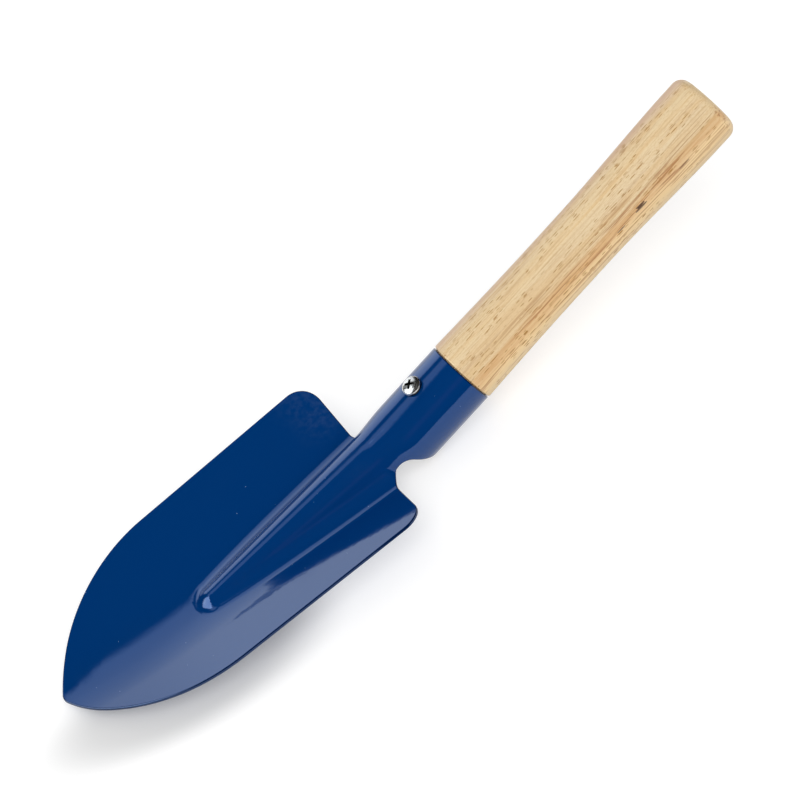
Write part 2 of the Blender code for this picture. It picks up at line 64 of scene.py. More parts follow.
# %% Tool frame
GRIP_LENGTH = 0.1215
butt = frame["record"]["mounts"][0]
butt_axis = Vector(butt["axis"])
mouth = Vector(butt["pos_m"]) - butt_axis * GRIP_LENGTH
pitch = -atan2(butt_axis.z, butt_axis.x)
LAID_DOWN = Matrix.Translation(mouth) @ Matrix.Rotation(pitch, 4, "Y")
print("mouth", [round(v, 4) for v in mouth], "pitch", round(pitch * 180 / pi, 2), "degrees")

# %% [markdown]
# ## The blade's rule
#
# A trowel blade starts as a flat blank cut from sheet steel. A place on the blank is (a, b):
# a runs from the socket's mouth along the spine, b out to one side, both along the sheet.
# Pressing sends each place to the finished shape. Across the sheet that is an arch, a fillet
# and the trough with its straight wings, which flatten a little towards the tip. Along it the
# valley cranks up from the socket's axis, and the tip turns up again. The ridge's round nose
# is its section turned about the end of the crest. Modelling the blade by this rule, and not
# by pushing vertices about, keeps its curves as fair as pressed steel, so that the gloss on
# them runs clean.

# %% Sizes of the blade
SHEET = 0.0012
SOCKET_DIAMETER = 0.0244
SEAM_LENGTH = 0.0205
SEAM_GAP = 0.0008
SEAM_CORNER = 0.0022
SHOULDER_FROM_MOUTH = 0.0425
NECK_WIDTH = 0.0300
NOTCH_RADIUS = 0.0060
ROLL_LENGTH = 0.0130
BLADE_LENGTH = 0.1298
SHOULDER_WIDTH = 0.0818
WAIST_WIDTH = 0.0780
POINT_RADIUS = 0.0635
TIP_RADIUS = 0.0045
SHOULDER_RADIUS = 0.0082
BOTTOM_RADIUS = 0.0490
WING_TILT = radians(22.3)
WING_TILT_AT_TIP = radians(17.3)
VALLEY_DROP = 0.0014
CRANK_ANGLE = radians(13.5)
CRANK_BEFORE = 0.0160
CRANK_PAST = 0.0030
TIP_TURN = radians(12.4)
TIP_TURN_START = 0.0690
TIP_TURN_LENGTH = 0.0680
RIDGE_LENGTH = 0.0700
NOSE_LENGTH = 0.0085
NOSE_SPREAD = 5.0
RIDGE_RADIUS = 0.0094
RIDGE_END_HEIGHT = 0.0028
RIDGE_END_RADIUS = 0.0045
RIDGE_FILLET = 0.0076
CREST_BLEND_BEFORE = 0.0078
CREST_BLEND_LENGTH = 0.0130

SPINE_STEP = 0.00025
SHEET_RADIUS = SOCKET_DIAMETER / 2 - SHEET / 2
SEAM_EDGE = pi * SHEET_RADIUS - SEAM_GAP / 2
TIP_STATION = SHOULDER_FROM_MOUTH + BLADE_LENGTH
NOSE_STATION = SHOULDER_FROM_MOUTH + RIDGE_LENGTH


def ease(t):
    """Smooth step from 0 to 1."""
    t = min(max(t, 0.0), 1.0)
    return t * t * (3 - 2 * t)


def lerp(start, end, t):
    return start + (end - start) * t


# %% The valley along the blade
def valley_turn(a):
    """Angle of the valley above the socket's axis at station a."""
    past_bend = a - (SHOULDER_FROM_MOUTH - CRANK_BEFORE)
    past_turn = a - (SHOULDER_FROM_MOUTH + TIP_TURN_START)
    crank = CRANK_ANGLE * ease(past_bend / (CRANK_BEFORE + CRANK_PAST))
    return crank + TIP_TURN * ease(past_turn / TIP_TURN_LENGTH)


def valley_line():
    """The valley as (x, z) every SPINE_STEP, starting one step before the mouth."""
    points = [(SPINE_STEP, 0.0)]
    for i in range(ceil(TIP_STATION / SPINE_STEP) + 3):
        turn = valley_turn((i - 0.5) * SPINE_STEP)
        x, z = points[-1]
        points.append((x - cos(turn) * SPINE_STEP, z + sin(turn) * SPINE_STEP))
    shoulder_z = points[round(SHOULDER_FROM_MOUTH / SPINE_STEP) + 1][1]
    return [(x, z - shoulder_z - VALLEY_DROP) for x, z in points]


VALLEY = valley_line()


def valley_at(a):
    place = a / SPINE_STEP + 1
    i = min(max(int(place), 0), len(VALLEY) - 2)
    (x0, z0), (x1, z1) = VALLEY[i], VALLEY[i + 1]
    return lerp(x0, x1, place - i), lerp(z0, z1, place - i)


print("valley rises mm", round((VALLEY[-1][1] - VALLEY[0][1]) * 1000, 1))


# %% The section across the blade
def trough_length(tilt, y):
    """Distance along the trough from its middle to a place y to the side."""
    bottom = BOTTOM_RADIUS * sin(tilt)
    if y < bottom:
        return BOTTOM_RADIUS * asin(y / BOTTOM_RADIUS)
    return BOTTOM_RADIUS * tilt + (y - bottom) / cos(tilt)


def trough_at(tilt, length):
    """Side and height of the trough that far along it from its middle."""
    on_arc = min(length / BOTTOM_RADIUS, tilt)
    on_wing = length - BOTTOM_RADIUS * on_arc
    y = BOTTOM_RADIUS * sin(on_arc) + on_wing * cos(tilt)
    return y, BOTTOM_RADIUS * (1 - cos(on_arc)) + on_wing * sin(tilt)


class Section:
    """The sheet cut across at one station: an arch, a fillet on each side, the trough."""

    def __init__(self, a):
        # The arch's crest runs on along the top of the socket, then falls to the nose.
        past = a - SHOULDER_FROM_MOUTH
        along = min(past / RIDGE_LENGTH, 1.0)
        socket_height = (SHEET_RADIUS - valley_at(a)[1]) / cos(valley_turn(a))
        neck_height = (SHEET_RADIUS + VALLEY_DROP) / cos(valley_turn(SHOULDER_FROM_MOUTH))
        ridge_height = lerp(neck_height, RIDGE_END_HEIGHT, along)
        opened = ease((past + CREST_BLEND_BEFORE) / CREST_BLEND_LENGTH)
        self.height = lerp(socket_height, ridge_height, opened)
        narrowed = ease(past / CRANK_BEFORE + 1)
        ridge_radius = lerp(RIDGE_RADIUS, RIDGE_END_RADIUS, max(along, 0.0))
        self.radius = lerp(SHEET_RADIUS, ridge_radius, narrowed)
        self.fillet = RIDGE_FILLET
        if a > NOSE_STATION:
            self.round_nose(a - NOSE_STATION)
        self.reach = self.radius + self.fillet
        self.tilt = lerp(WING_TILT, WING_TILT_AT_TIP, max(past / BLADE_LENGTH, 0.0))
        self.flank = lerp(self.place_fillet(), pi, ease(-past / ROLL_LENGTH))
        self.arch_end = self.radius * self.flank
        self.fillet_end = self.arch_end + self.fillet * (self.flank + self.landing_tilt)

    def round_nose(self, past):
        """Cuts the ridge's round end: the section turned about the end of the crest."""
        reach = self.radius + self.fillet
        flank = acos(1 - self.height / reach)
        foot = reach * sin(flank)
        past = min(past, foot)
        if past < self.radius * sin(flank):
            self.height += sqrt(self.radius**2 - past**2) - self.radius
        else:
            self.height = self.fillet - sqrt(self.fillet**2 - (foot - past)**2)
        width = foot**2 - past**2 + self.height**2
        narrow = 2 * reach * self.height
        spread = width / narrow if width < NOSE_SPREAD * narrow else NOSE_SPREAD
        self.radius *= spread
        self.fillet *= spread

    def place_fillet(self):
        """Touches the fillet to arch and trough, and gives the arch's half angle."""
        inner = BOTTOM_RADIUS - self.fillet
        lift = BOTTOM_RADIUS - (self.height - self.radius)
        across = lift * cos(self.tilt) - inner
        slide = sqrt(max(self.reach**2 - across**2, 0.0)) - lift * sin(self.tilt)
        if slide > 0.0:
            # It lands on the straight wing, this far out from the wing's foot.
            self.landing_tilt = self.tilt
            self.landing = BOTTOM_RADIUS * self.tilt + slide
            y = inner * sin(self.tilt) + slide * cos(self.tilt)
            return atan2(y, lift - inner * cos(self.tilt) + slide * sin(self.tilt))
        # It lands on the arc at the bottom of the trough.
        cosine = (self.reach**2 + lift**2 - inner**2) / (2 * self.reach * lift)
        flank = acos(min(max(cosine, -1.0), 1.0))
        self.landing_tilt = asin(min(self.reach * sin(flank) / inner, 1.0))
        self.landing = BOTTOM_RADIUS * self.landing_tilt
        return flank

    def at(self, b):
        """Side and height of the sheet at b."""
        side = 1 if b >= 0 else -1
        b = abs(b)
        centre = self.height - self.radius
        if b <= self.arch_end:
            tilt = b / self.radius
            return side * self.radius * sin(tilt), centre + self.radius * cos(tilt)
        y = self.reach * sin(self.flank)
        z = centre + self.reach * cos(self.flank)
        if b <= self.fillet_end:
            tilt = self.flank - (b - self.arch_end) / self.fillet
            return side * (y - self.fillet * sin(tilt)), z - self.fillet * cos(tilt)
        y += self.fillet * sin(self.landing_tilt)
        z -= self.fillet * cos(self.landing_tilt)
        first_y, first_z = trough_at(self.tilt, self.landing)
        last_y, last_z = trough_at(self.tilt, self.landing + b - self.fillet_end)
        return side * (y + last_y - first_y), z + last_z - first_z

    def b_at(self, y):
        """Distance along the sheet at which the trough is y from the middle."""
        return self.fillet_end + trough_length(self.tilt, y) - self.landing


@lru_cache(maxsize=None)
def section(a):
    return Section(a)


def press(a, b):
    """Middle of the sheet's thickness at (a, b) of the blank, in the tool frame."""
    y, height = section(a).at(b)
    x, z = valley_at(a)
    turn = valley_turn(a)
    return Vector((x + height * sin(turn), y, z + height * cos(turn)))


def press_directions(a, b):
    """Directions along a, along b and out of the upper side at (a, b)."""
    step = SPINE_STEP
    along = (press(a + step, b) - press(a - step, b)).normalized()
    across = (press(a, b + step) - press(a, b - step)).normalized()
    return along, across, across.cross(along).normalized()


print("ridge height at the neck mm", round(section(SHOULDER_FROM_MOUTH).height * 1000, 1))

# %% [markdown]
# ## The blank's edge
#
# The outline is drawn once, from arcs and straight lines: the tip, the long sides, the
# rounded shoulders, the two notches of the neck and the wrap that becomes the socket. A
# steel sheet is stamped along such a line, so both skins of the sheet follow it.

# %% Arcs and lines
EDGE_STEP = 0.0009
FINE_EDGE_STEP = 0.0004


def arc(centre, radius, start, end, step):
    """Points on a circle from angle start to angle end, both kept."""
    count = max(3, ceil(abs(end - start) * radius / step))
    angles = [lerp(start, end, i / count) for i in range(count + 1)]
    return [(centre[0] + radius * cos(t), centre[1] + radius * sin(t)) for t in angles]


def between(start, end, step):
    """Evenly spaced points on the line from start to end, without its two ends."""
    count = max(1, ceil(hypot(end[0] - start[0], end[1] - start[1]) / step))
    return [(lerp(start[0], end[0], i / count), lerp(start[1], end[1], i / count))
            for i in range(1, count)]


def joined(points, more):
    """The points, even steps along the gap, and more points."""
    return points + between(points[-1], more[0], EDGE_STEP) + more


def rounded(before, corner, after, radius):
    """A corner of an outline as an arc that touches both of its sides."""
    corner = Vector(corner)
    back = (Vector(before) - corner).normalized()
    on = (Vector(after) - corner).normalized()
    half_angle = acos(back.dot(on)) / 2
    centre = corner + (back + on).normalized() * (radius / sin(half_angle))
    first = corner + back * (radius / tan(half_angle)) - centre
    last = corner + on * (radius / tan(half_angle)) - centre
    start = atan2(first.y, first.x)
    return arc(centre, radius, start, start - first.angle_signed(last), FINE_EDGE_STEP)


# %% The outline
def blade_plan():
    """Half of the blade's edge as (a, y), y being the finished half width, tip first."""
    half = WAIST_WIDTH / 2
    side_centre = half - POINT_RADIUS
    reach = sqrt((POINT_RADIUS - TIP_RADIUS)**2 - side_centre**2)
    tip_centre = TIP_STATION - TIP_RADIUS
    waist = tip_centre - reach
    meet = atan2(-side_centre, reach)
    flare = (SHOULDER_WIDTH / 2 - half) / (waist - SHOULDER_FROM_MOUTH)
    tilt = atan2(flare, 1.0)
    points = arc((tip_centre, 0.0), TIP_RADIUS, 0.0, meet, FINE_EDGE_STEP)
    points += arc((waist, side_centre), POINT_RADIUS, meet, pi / 2 - tilt, EDGE_STEP)[1:]
    corner_a = SHOULDER_FROM_MOUTH + SHOULDER_RADIUS
    corner_y = half + flare * (waist - corner_a) - SHOULDER_RADIUS / cos(tilt)
    shoulder = arc((corner_a, corner_y), SHOULDER_RADIUS, pi / 2 - tilt, pi, FINE_EDGE_STEP)
    return joined(points, shoulder)


def blank_outline():
    """The flat blank's edge as one closed loop of (a, b)."""
    half = [(a, section(a).b_at(y)) for a, y in blade_plan()]
    notch = (SHOULDER_FROM_MOUTH - NOTCH_RADIUS, NECK_WIDTH / 2 + NOTCH_RADIUS)
    seam_end = (SEAM_LENGTH, SEAM_EDGE)
    span = hypot(notch[0] - SEAM_LENGTH, SEAM_EDGE - notch[1])
    towards = atan2(SEAM_EDGE - notch[1], SEAM_LENGTH - notch[0])
    touch = towards + acos(NOTCH_RADIUS / span) - 2 * pi
    half = joined(half, arc(notch, NOTCH_RADIUS, 0.0, touch, FINE_EDGE_STEP))
    half = joined(half, rounded(half[-1], seam_end, (0.0, SEAM_EDGE), SEAM_CORNER))
    half = joined(half, [(0.0, SEAM_EDGE)])
    mouth_edge = between((0.0, SEAM_EDGE), (0.0, -SEAM_EDGE), EDGE_STEP)
    return half + mouth_edge + [(a, -b) for a, b in reversed(half[1:])]


OUTLINE = np.array(blank_outline())
print("outline points", len(OUTLINE))

# %% [markdown]
# ## The sheet as a solid
#
# The blank is filled with rows of places, close together where the finished sheet will be
# tightly curved. A constrained Delaunay triangulation joins them up to the edge. The two
# skins lie half a thickness either side of the middle. Between them runs the rim: a thick
# coat of enamel rounds a sheared edge over, so its section is a small quarter circle above
# and below a flat. Writing each vertex's true normal into the mesh keeps reflections free of
# the ripples that a triangulation would print into them.

# %% Places inside the outline
EDGE_ROUND = 0.00042
ROUND_STEPS = 4
SCREW_FROM_MOUTH = 0.0139
SHANK_DIAMETER = 0.0034
SCREW_CLEARANCE = 0.0003
HOLE_RADIUS = SHANK_DIAMETER / 2 + SCREW_CLEARANCE
HOLE_SIDES = 32

ROW_STEP = 0.0008
FINE_ROW_STEP = 0.00045
ARCH_TURN = radians(4.0)
WING_STEP = 0.0015
ROW_MARGIN = 0.00035


def distance_to(loop, places):
    """Distance of each place from the closed loop, positive inside it."""
    nearest = np.full(len(places), 1.0)
    inside = np.zeros(len(places), bool)
    for (a0, b0), (a1, b1) in zip(loop, np.roll(loop, -1, 0)):
        run, rise = a1 - a0, b1 - b0
        along = (places[:, 0] - a0) * run + (places[:, 1] - b0) * rise
        t = np.clip(along / (run * run + rise * rise), 0.0, 1.0)
        gap = np.hypot(a0 + t * run - places[:, 0], b0 + t * rise - places[:, 1])
        nearest = np.minimum(nearest, gap)
        if rise:
            crossing = (b0 > places[:, 1]) != (b1 > places[:, 1])
            inside ^= crossing & (places[:, 0] < a0 + (places[:, 1] - b0) / rise * run)
    return np.where(inside, nearest, -nearest)


def row_places(a):
    """Places across the sheet at one station."""
    cut = section(a)
    arch = max(1, ceil(cut.flank / ARCH_TURN))
    fillet = max(1, ceil((cut.flank + cut.landing_tilt) / ARCH_TURN))
    places = [cut.arch_end * i / arch for i in range(arch + 1)]
    places += [lerp(cut.arch_end, cut.fillet_end, (i + 1) / fillet) for i in range(fillet)]
    places += [cut.fillet_end + WING_STEP * (i + 1) for i in range(ceil(SHOULDER_WIDTH / WING_STEP))]
    kept = [0.0]
    for b in places:
        if b - kept[-1] > ROW_MARGIN / 2:
            kept.append(b)
    return [-b for b in reversed(kept[1:])] + kept


def inner_places():
    places = []
    a = 0.0
    while a < TIP_STATION:
        nose = -NOSE_LENGTH / 2 < a - NOSE_STATION < NOSE_LENGTH
        a += FINE_ROW_STEP if nose else ROW_STEP
        places += [(a, b) for b in row_places(a)]
    places = np.array(places)
    return places[distance_to(OUTLINE, places) > EDGE_ROUND + ROW_MARGIN]


hole_step = 2 * pi * HOLE_RADIUS / HOLE_SIDES
hole = np.array(arc((SCREW_FROM_MOUTH, 0.0), HOLE_RADIUS, 0.0, -2 * pi, hole_step)[:-1])
inner = inner_places()
from_screw = np.hypot(inner[:, 0] - SCREW_FROM_MOUTH, inner[:, 1])
inner = inner[from_screw > HOLE_RADIUS + EDGE_ROUND + ROW_MARGIN]
print("places inside", len(inner))


# %% Skins and rim
def outward(loop):
    """Direction out of the sheet at each point of a loop that has the sheet on its left."""
    ahead = np.roll(loop, -1, 0) - loop
    ahead /= np.linalg.norm(ahead, axis=1)[:, None]
    after = np.stack([ahead[:, 1], -ahead[:, 0]], 1)
    before = np.roll(after, 1, 0)
    return (before + after) / (1 + (before * after).sum(1))[:, None]


def fill_sheet():
    """Places and triangles between the rounded edges of the outline and the hole."""
    rings = [ring - outward(ring) * EDGE_ROUND for ring in (OUTLINE, hole)]
    flat = [Vector(place) for place in np.concatenate([*rings, inner])]
    count = len(OUTLINE)
    loops = range(count), range(count, count + len(hole))
    edges = [edge for loop in loops for edge in zip(loop, (*loop[1:], loop[0]))]
    verts, _edges, triangles, origins, *_rest = delaunay_2d_cdt(flat, edges, [], 1, 1e-8)
    centres = np.array([np.mean([verts[i] for i in triangle], axis=0) for triangle in triangles])
    keep = distance_to(rings[1][::-1], centres) < 0
    where = {origin: i for i, found in enumerate(origins) for origin in found}
    triangles = [tuple(t) for t, kept in zip(triangles, keep) if kept]
    return np.array(verts), triangles, [[where[i] for i in loop] for loop in loops]


def rim_profile():
    """Round of the rim from the upper skin to the lower: inset, height and tilt."""
    half = SHEET / 2
    upper = []
    for i in range(ROUND_STEPS + 1):
        tilt = pi / 2 * (1 - i / ROUND_STEPS)
        upper.append((EDGE_ROUND * (1 - cos(tilt)), half - EDGE_ROUND * (1 - sin(tilt)), tilt))
    return upper + [(depth, -height, -tilt) for depth, height, tilt in reversed(upper)]


def sheet_solid(name):
    """The pressed sheet as one closed mesh with true normals, in the tool frame."""
    places, triangles, loops = fill_sheet()
    count = len(places)
    verts, normals, edge = [], [], []
    depth_in = distance_to(OUTLINE, places)
    for side in (1, -1):
        for (a, b), depth in zip(places, depth_in):
            _along, _across, out = press_directions(a, b)
            verts.append(press(a, b) + out * side * SHEET / 2)
            normals.append(out * side)
            edge.append(depth)
    faces = [tuple(reversed(t)) for t in triangles]
    faces += [tuple(i + count for i in t) for t in triangles]
    profile = rim_profile()
    for ring, loop in zip((OUTLINE, hole), loops):
        away = outward(ring)
        rows = [loop]
        for inset, height, tilt in profile[1:-1]:
            rows.append(list(range(len(verts), len(verts) + len(ring))))
            for (a, b), (da, db) in zip(ring - away * inset, away):
                along, across, out = press_directions(a, b)
                sideways = (along * da + across * db).normalized()
                verts.append(press(a, b) + out * height)
                normals.append((sideways * cos(tilt) + out * sin(tilt)).normalized())
                edge.append(inset)
        rows.append([i + count for i in loop])
        for upper, lower in zip(rows, rows[1:]):
            for i in range(len(ring)):
                j = (i + 1) % len(ring)
                faces.append((upper[j], lower[j], lower[i], upper[i]))
    mesh = bpy.data.meshes.new(name)
    mesh.from_pydata(verts, [], faces)
    mesh.attributes.new("edge_mm", "FLOAT", "POINT").data.foreach_set("value", np.array(edge) * 1000)
    mesh.transform(LAID_DOWN)
    mesh.shade_smooth()
    turn = LAID_DOWN.to_3x3()
    mesh.normals_split_custom_set_from_vertices([turn @ normal for normal in normals])
    return mesh


blade_mesh = sheet_solid("painted_blade")
print("blade triangles", sum(len(p.vertices) - 2 for p in blade_mesh.polygons))

# %% [markdown]
# ## Turned pieces by Geometry Nodes
#
# The handle and the screw were both made on a lathe, so both are one outline swept round an
# axis. A Screw modifier could do it. A node tree does it here because the tree can be given
# any outline: it makes a grid with a row for each point of the outline, reads the point with
# Sample Index, and turns it round X. The same tree serves both pieces. A node's output is
# held as a Value, so that a tree reads as a sum, and each tree is a function of its inputs.

# %% Values in node trees
class Value:
    """A node's output. A sum written with it adds the Math nodes that work it out."""

    def __init__(self, socket):
        self.socket = socket
        self.tree = socket.id_data

    def out(self, key):
        """Another output of the same node."""
        return Value(self.socket.node.outputs[key])

    def __add__(self, other):
        return math("ADD", self, other)

    def __sub__(self, other):
        return math("SUBTRACT", self, other)

    def __rsub__(self, other):
        return math("SUBTRACT", other, self)

    def __mul__(self, other):
        return math("MULTIPLY", self, other)

    def __truediv__(self, other):
        return math("DIVIDE", self, other)


def plug(socket, value):
    """Link a Value to the socket, or write a constant on it."""
    if isinstance(value, Value):
        value.tree.links.new(value.socket, socket)
    else:
        socket.default_value = value


def fill(inputs, values):
    """Plug each value into the input of that name or index."""
    for key, value in values.items():
        plug(inputs[key], value)


def node(tree, kind, inputs=None, **settings):
    """Add a node and return its first output."""
    made = tree.nodes.new(kind)
    for name, value in settings.items():
        setattr(made, name, value)
    fill(made.inputs, inputs or {})
    return Value(made.outputs[0])


def operate(kind, operation, *values):
    """The first output of a node that works on these values."""
    tree = next(value.tree for value in values if isinstance(value, Value))
    return node(tree, kind, dict(enumerate(values)), operation=operation)


math = partial(operate, "ShaderNodeMath")
vector_math = partial(operate, "ShaderNodeVectorMath")


def axes(place):
    """The X, Y and Z of a place."""
    split = node(place.tree, "ShaderNodeSeparateXYZ", {0: place})
    return [split.out(axis) for axis in "XYZ"]


def grow(kind, name, work, inputs):
    """A node group that gives out what work makes of the inputs, handed to it as Values.

    An input is written as the kind of its socket, or as a number for a Float."""
    tree = bpy.data.node_groups.new(name, kind + "NodeTree")
    for title, given in inputs.items():
        if isinstance(given, str):
            tree.interface.new_socket(title, socket_type="NodeSocket" + given)
        else:
            tree.interface.new_socket(title, socket_type="NodeSocketFloat").default_value = given
    output = "NodeSocketGeometry" if kind == "Geometry" else "NodeSocketFloat"
    tree.interface.new_socket("Out", in_out="OUTPUT", socket_type=output)
    start, end = tree.nodes.new("NodeGroupInput"), tree.nodes.new("NodeGroupOutput")
    plug(end.inputs[0], work({title: Value(start.outputs[title]) for title in inputs}))
    return tree


print("nodes can be written as sums")


# %% Meshes from trees
WELD_REACH = 1e-6


def new_object(name, data):
    """An object of the data, linked to the scene."""
    made = bpy.data.objects.new(name, data)
    bpy.context.scene.collection.objects.link(made)
    return made


def plain_mesh(maker):
    """The object's mesh with its modifiers worked out. The object itself is removed."""
    graph = bpy.context.evaluated_depsgraph_get()
    made = bpy.data.meshes.new_from_object(maker.evaluated_get(graph), depsgraph=graph)
    maker.modifiers.clear()
    bpy.data.objects.remove(maker, do_unlink=True)
    return made


def clean(mesh):
    """Merge a mesh's doubles, drop its slivers and turn its faces outwards."""
    work = bmesh.new()
    work.from_mesh(mesh)
    bmesh.ops.remove_doubles(work, verts=work.verts, dist=WELD_REACH)
    bmesh.ops.dissolve_degenerate(work, edges=work.edges, dist=WELD_REACH)
    bmesh.ops.recalc_face_normals(work, faces=work.faces)
    work.to_mesh(mesh)
    work.free()
    return mesh


def run_tree(name, mesh, tree, **values):
    """Evaluate a tree on a mesh with the named inputs and return the plain mesh."""
    maker = new_object(name + "_maker", mesh)
    modifier = maker.modifiers.new(tree.name, "NODES")
    modifier.node_group = tree
    for item in tree.interface.items_tree:
        if item.in_out == "INPUT" and item.name in values:
            modifier[item.identifier] = values[item.name]
    made = clean(plain_mesh(maker))
    made.name = name
    return made


def dressed(geometry, material):
    """The end of a geometry tree: Realize Instances and Set Material."""
    real = node(geometry.tree, "GeometryNodeRealizeInstances", {"Geometry": geometry})
    return node(geometry.tree, "GeometryNodeSetMaterial", {"Geometry": real, "Material": material})


print("doubles closer than mm", WELD_REACH * 1000, "are merged")


# %% The lathe
def lathe(given):
    """Turns an outline of (x, radius) points round the X axis."""
    outline = given["Geometry"]
    tree = outline.tree
    rows = node(tree, "GeometryNodeAttributeDomainSize", {"Geometry": outline}).out("Point Count")
    columns = given["Sides"] + 1
    grid = node(tree, "GeometryNodeMeshGrid", {"Vertices X": rows, "Vertices Y": columns})
    index = node(tree, "GeometryNodeInputIndex")
    row = math("FLOOR", index / columns)
    column = index - row * columns
    position = node(tree, "GeometryNodeInputPosition")
    point = node(tree, "GeometryNodeSampleIndex",
                 {"Geometry": outline, "Value": position, "Index": row}, data_type="FLOAT_VECTOR")
    x, radius = axes(point)[:2]
    turn = column * (2 * pi) / given["Sides"]
    place = {"X": x, "Y": radius * math("COSINE", turn), "Z": radius * math("SINE", turn)}
    turned = node(tree, "GeometryNodeSetPosition",
                  {"Geometry": grid, "Position": node(tree, "ShaderNodeCombineXYZ", place)})
    welded = node(tree, "GeometryNodeMergeByDistance",
                  {"Geometry": turned, "Distance": given["Weld"]})
    return dressed(welded, given["Material"])


LATHE = grow("Geometry", "lathe", lathe, {
    "Geometry": "Geometry", "Sides": "Int", "Weld": WELD_REACH, "Material": "Material"})


def on_lathe(name, points, sides):
    """The closed mesh that the lathe makes of an outline's points."""
    outline = bpy.data.meshes.new(name + "_outline")
    outline.from_pydata([(x, radius, 0.0) for x, radius in points],
                        [(i, i + 1) for i in range(len(points) - 1)], [])
    return run_tree(name, outline, LATHE, Sides=sides)


print("lathe nodes", len(LATHE.nodes))

# %% [markdown]
# ## Shared effects
#
# Enamel, varnish and plating all carry dust, all ripple a little, and all hold smudges. Each
# of these is one shader node group, placed in every material with that material's own
# values. A group gives out only a mask or a height. The Principled shader stays in the
# material, where the export can read it.

# %% Helpers for materials
def noise(place, scale=1.0, detail=2.0):
    return node(place.tree, "ShaderNodeTexNoise", {"Vector": place, "Scale": scale, "Detail": detail})


def span(value, low, high, out_low=0.0, out_high=1.0, step="SMOOTHSTEP"):
    """From out_low to out_high as the value goes from low to high."""
    sizes = {"Value": value, "From Min": low, "From Max": high, "To Min": out_low, "To Max": out_high}
    return node(value.tree, "ShaderNodeMapRange", sizes, interpolation_type=step)


def layered(colour, *layers):
    """The colour with the tint of each layer laid over it by the layer's mask."""
    for mask, tint in layers:
        mixed = node(mask.tree, "ShaderNodeMix", {0: mask, 6: colour, 7: tint}, data_type="RGBA")
        colour = mixed.out(2)
    return colour


def bump(height, strength, distance):
    sizes = {"Height": height, "Strength": strength, "Distance": distance}
    return node(height.tree, "ShaderNodeBump", sizes)


def effect(group, **values):
    """Place an effect group in the material that its place belongs to."""
    return node(values["Place"].tree, "ShaderNodeGroup", values, node_tree=group)


def new_material(name, at=mouth, turned=(0.0, pitch, 0.0), unit=(0.001, 0.001, 0.001)):
    """A material, its Principled inputs, and places on the trowel in millimetres."""
    mat = bpy.data.materials.new(name)
    mat.use_nodes = True
    world = node(mat.node_tree, "ShaderNodeTexCoord").out("Object")
    place = node(mat.node_tree, "ShaderNodeMapping",
                 {"Vector": world, "Location": at, "Rotation": turned, "Scale": unit},
                 vector_type="TEXTURE")
    return mat, mat.node_tree.nodes["Principled BSDF"].inputs, place


print("places on the trowel start at", [round(v, 4) for v in mouth])


# %% Effect groups
def specks(given):
    """Small round specks, thinned out at random: 1 on a speck."""
    place = given["Place"]
    scale = math("DIVIDE", 1.0, given["Spacing"])
    scaled = node(place.tree, "ShaderNodeVectorMath", {0: place, "Scale": scale}, operation="SCALE")
    cells = node(place.tree, "ShaderNodeTexVoronoi", {"Vector": scaled, "Scale": 1.0})
    chance = node(place.tree, "ShaderNodeSeparateColor", {0: cells.out("Color")})
    near = math("LESS_THAN", cells.out("Distance"), given["Size"])
    return near * math("LESS_THAN", chance, given["Share"])


def clouds(given):
    """Soft patches for smudges and colour drift, from 0 to 1."""
    return span(noise(given["Place"], given["Scale"], 3.0), given["Low"], given["High"])


def ripple(given):
    """Low waves of a coat that has flowed: a height for a Bump node."""
    return noise(given["Place"], given["Scale"], 1.0)


SPECKS = grow("Shader", "specks", specks, {
    "Place": "Vector", "Spacing": 1.0, "Size": 0.1, "Share": 0.1})
CLOUDS = grow("Shader", "clouds", clouds, {
    "Place": "Vector", "Scale": 1.0, "Low": 0.4, "High": 0.7})
RIPPLE = grow("Shader", "ripple", ripple, {"Place": "Vector", "Scale": 0.5})
print("effect groups", [group.name for group in (SPECKS, CLOUDS, RIPPLE)])

# %% [markdown]
# ## Navy enamel
#
# The blade is dipped or sprayed and stoved, a deep navy with a wet gloss. Nearly all that one sees on
# it is reflection, so the colour itself stays dark and the detail is in the gloss: a faint ripple, a
# few smudges that dull it, dust caught in the coat, its specks painted pale as glints, and the thin
# coat along the sheared edge, which shows darker, with painted shade on the rim as well.

# %% Enamel
ENAMEL = (0.0004, 0.037, 0.170, 1.0)
ENAMEL_GLOSS = (0.43, 0.60, 1.0, 1.0)
# The rim's colour: the thin coat on the sheared edge, darkened further as painted shade.
ENAMEL_EDGE_AND_SHADE = (0.0004, 0.012, 0.060, 1.0)
# Dust specks in the coat are painted in this pale colour as glints, and the pale haze is laid on in
# it too.
ENAMEL_PALE = (0.33, 0.44, 0.62, 1.0)
ENAMEL_ROUGHNESS = (0.045, 0.10)
EDGE_DARK_MM = 0.45
HAZE_ALONG_MM = (-58.0, -44.0)
HAZE_ASIDE_MM = (17.0, 27.0)
HAZE_SHARE = 0.035


